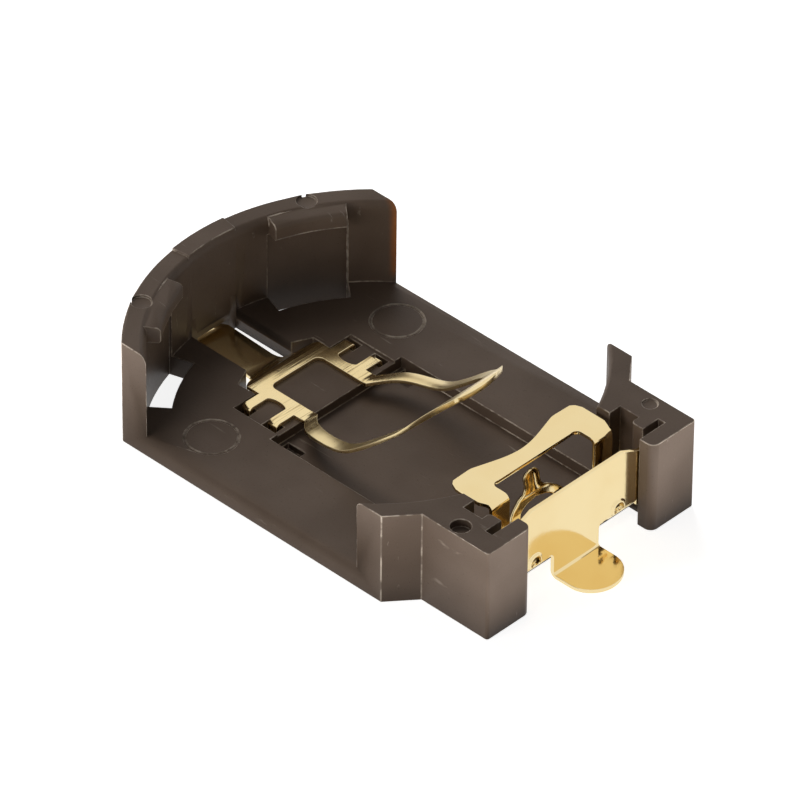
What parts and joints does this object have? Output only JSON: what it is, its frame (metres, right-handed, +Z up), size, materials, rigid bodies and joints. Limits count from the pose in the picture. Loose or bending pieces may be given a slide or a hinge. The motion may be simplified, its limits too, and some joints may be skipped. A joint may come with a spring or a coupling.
{
  "type": "coin cell holder",
  "caption": "Surface-mount coin cell holder: a moulded open cradle with two snap lips, a stamped spring loop under the cell and a stamped clip that presses on its rim and top.",
  "frame": {"origin": "on the board plane, straight below the centre of the seated coin cell", "axes": "+X along the holder towards the positive contact, +Y across the two flat sides, +Z up from the board"},
  "size_m": [0.028, 0.016, 0.0066],
  "materials": {
    "housing": "moulded grey-brown high-temperature plastic, fine matte grain",
    "negative_contact": "thin pale gold plate on springy copper alloy",
    "positive_contact": "thin pale gold plate on springy copper alloy"
  },
  "bodies": {
    "root": {"housing": "housing", "negative_contact": "negative_contact", "positive_contact": "positive_contact"}
  },
  "joints": []
}
